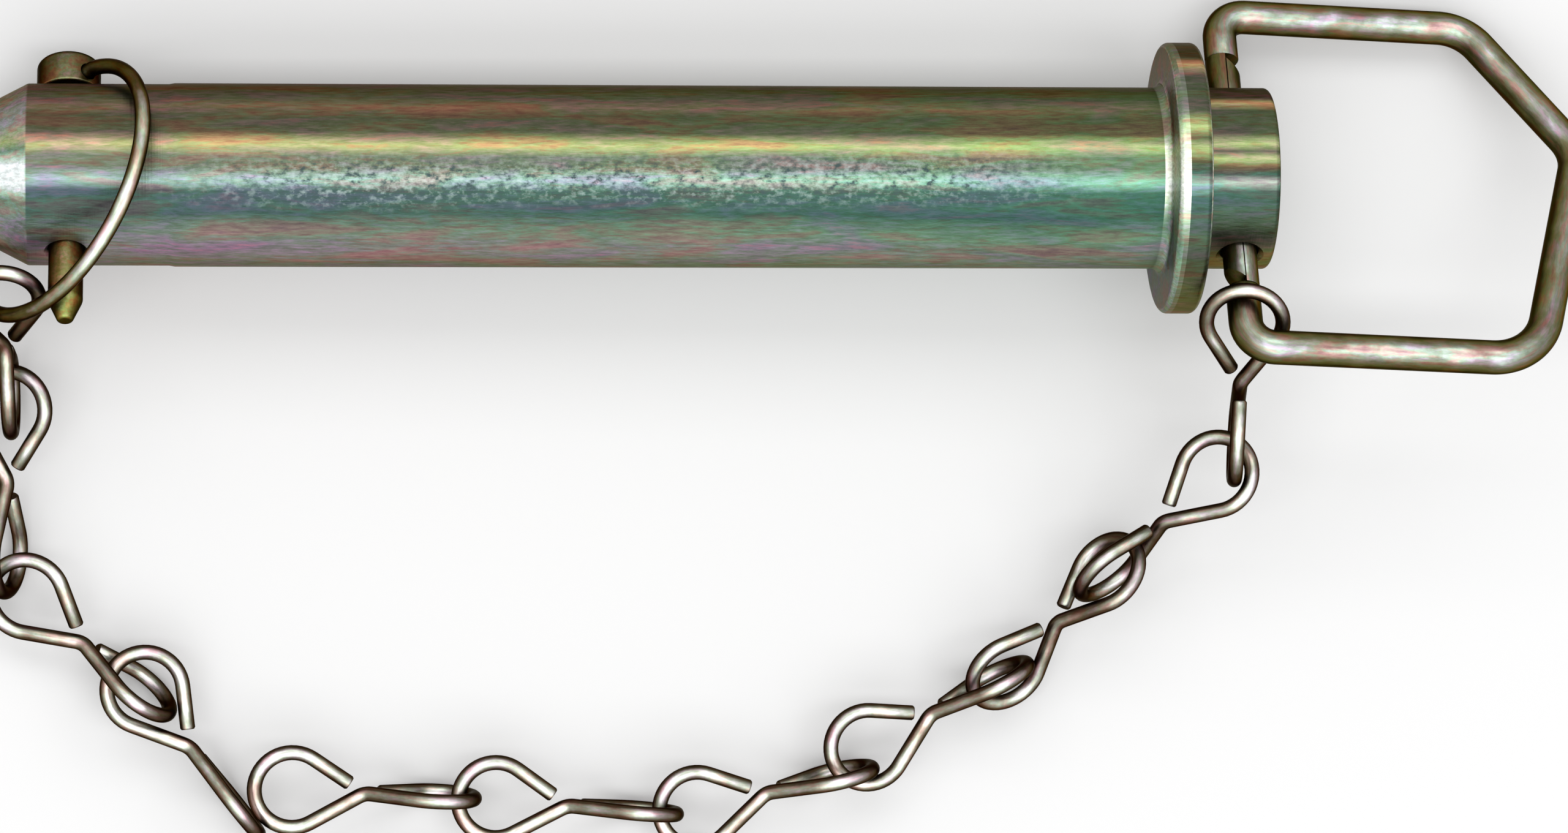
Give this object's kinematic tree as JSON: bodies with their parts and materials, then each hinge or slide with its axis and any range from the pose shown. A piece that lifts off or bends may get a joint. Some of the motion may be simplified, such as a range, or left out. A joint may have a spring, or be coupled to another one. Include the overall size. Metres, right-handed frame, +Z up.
{
  "type": "drawbar pin",
  "caption": "Round steel drawbar pin with a collar, wire handle, bevelled tip and a ring-locked linch pin tied to the handle by a chain.",
  "frame": {"origin": "on the shank's axis, on the collar's face that seats on the drawbar, with the part lying as it comes to rest", "axes": "+X from the tip towards the handle, +Y away from the chain, +Z up; the shank's axis leans about 1.4 degrees down to the tip"},
  "size_m": [0.2885, 0.1514, 0.0476],
  "materials": {
    "forging_plating": "yellow chromate over zinc plate, iridescent, glossy on a turned surface",
    "handle_plating": "yellow chromate over zinc plate, drawn wire",
    "linch_plating": "yellow chromate over zinc plate, dull",
    "ring_plating": "yellow chromate over zinc plate, drawn spring wire",
    "chain_plating": "yellow chromate over zinc plate, drawn wire"
  },
  "bodies": {
    "pin": {"pin_shank": "forging_plating"},
    "handle": {"handle": "handle_plating"},
    "linch": {"linch_pin": "linch_plating"},
    "ring": {"linch_ring": "ring_plating"},
    "link_01": {"chain_link_01": "chain_plating"},
    "link_02": {"chain_link_02": "chain_plating"},
    "link_03": {"chain_link_03": "chain_plating"},
    "link_04": {"chain_link_04": "chain_plating"},
    "link_05": {"chain_link_05": "chain_plating"},
    "link_06": {"chain_link_06": "chain_plating"},
    "link_07": {"chain_link_07": "chain_plating"},
    "link_08": {"chain_link_08": "chain_plating"},
    "link_09": {"chain_link_09": "chain_plating"},
    "link_10": {"chain_link_10": "chain_plating"},
    "link_11": {"chain_link_11": "chain_plating"}
  },
  "joints": [
    {"name": "handle_swing", "type": "hinge", "parent": "pin", "child": "handle", "pos_m": [0.0128, 0, 0.00032], "axis": [-0.0126, -0.866, 0.4998], "range_deg": [-4, 160]},
    {"name": "link_01_hang", "type": "hinge", "parent": "handle", "child": "link_01", "pos_m": [0.0128, 0, 0.00032], "axis": [-0.0126, -0.866, 0.4998], "range_deg": [-161, 5]},
    {"name": "chain_swing", "type": "hinge", "parent": "link_01", "child": "link_02", "pos_m": [0.0137, -0.04823, -0.00233], "axis": [-0.9896, 0.1319, 0.0579], "range_deg": [-1, 18]},
    {"name": "link_03_roll", "type": "hinge", "parent": "link_02", "child": "link_03", "pos_m": [-0.0164, -0.0783, -0.0127], "axis": [-0.6815, -0.7032, -0.2028], "range_deg": [-10, 12]},
    {"name": "link_04_hang", "type": "hinge", "parent": "link_03", "child": "link_04", "pos_m": [-0.0164, -0.0783, -0.0127], "axis": [-0.6815, -0.7032, -0.2028], "range_deg": [-13, 11]},
    {"name": "link_05_roll", "type": "hinge", "parent": "link_04", "child": "link_05", "pos_m": [-0.0678, -0.10829, -0.01571], "axis": [-0.9747, -0.2232, 0.0087], "range_deg": [-26, 14]},
    {"name": "link_06_hang", "type": "hinge", "parent": "link_05", "child": "link_06", "pos_m": [-0.0678, -0.10829, -0.01571], "axis": [-0.9747, -0.2232, 0.0087], "range_deg": [-15, 27]},
    {"name": "link_07_roll", "type": "hinge", "parent": "link_06", "child": "link_07", "pos_m": [-0.1387, -0.1079, -0.01581], "axis": [-0.9987, 0.0506, 0], "range_deg": [-36, 44]},
    {"name": "link_08_hang", "type": "hinge", "parent": "link_07", "child": "link_08", "pos_m": [-0.1387, -0.1079, -0.01581], "axis": [-0.9987, 0.0506, 0], "range_deg": [-45, 37]},
    {"name": "link_09_roll", "type": "hinge", "parent": "link_08", "child": "link_09", "pos_m": [-0.18781, -0.0813, -0.0162], "axis": [-0.7692, 0.6386, -0.0209], "range_deg": [-19, 16]},
    {"name": "link_10_hang", "type": "hinge", "parent": "link_09", "child": "link_10", "pos_m": [-0.18781, -0.0813, -0.0162], "axis": [-0.7692, 0.6386, -0.0209], "range_deg": [-17, 20]},
    {"name": "link_11_roll", "type": "hinge", "parent": "link_10", "child": "link_11", "pos_m": [-0.20111, -0.0298, -0.0057], "axis": [-0.0566, 0.647, 0.7604], "range_deg": [-4, 19]},
    {"name": "ring_swing", "type": "hinge", "parent": "linch", "child": "ring", "pos_m": [-0.19021, 0.016, -0.01402], "axis": [-0.6122, -0.3886, -0.6886], "range_deg": [0, 170]},
    {"name": "linch_slide", "type": "slide", "parent": "pin", "child": "linch", "axis": [0.0126, 0.866, -0.4998], "range_m": [0, 0.052]}
  ],
  "couplings": [
    {"joint": "link_01_hang", "follows": "handle_swing", "ratio": -1},
    {"joint": "link_04_hang", "follows": "link_03_roll", "ratio": -1},
    {"joint": "link_06_hang", "follows": "link_05_roll", "ratio": -1},
    {"joint": "link_08_hang", "follows": "link_07_roll", "ratio": -1},
    {"joint": "link_10_hang", "follows": "link_09_roll", "ratio": -1},
    {"joint": "linch_slide", "follows": "ring_swing", "m_per_rad": 0.0172}
  ]
}
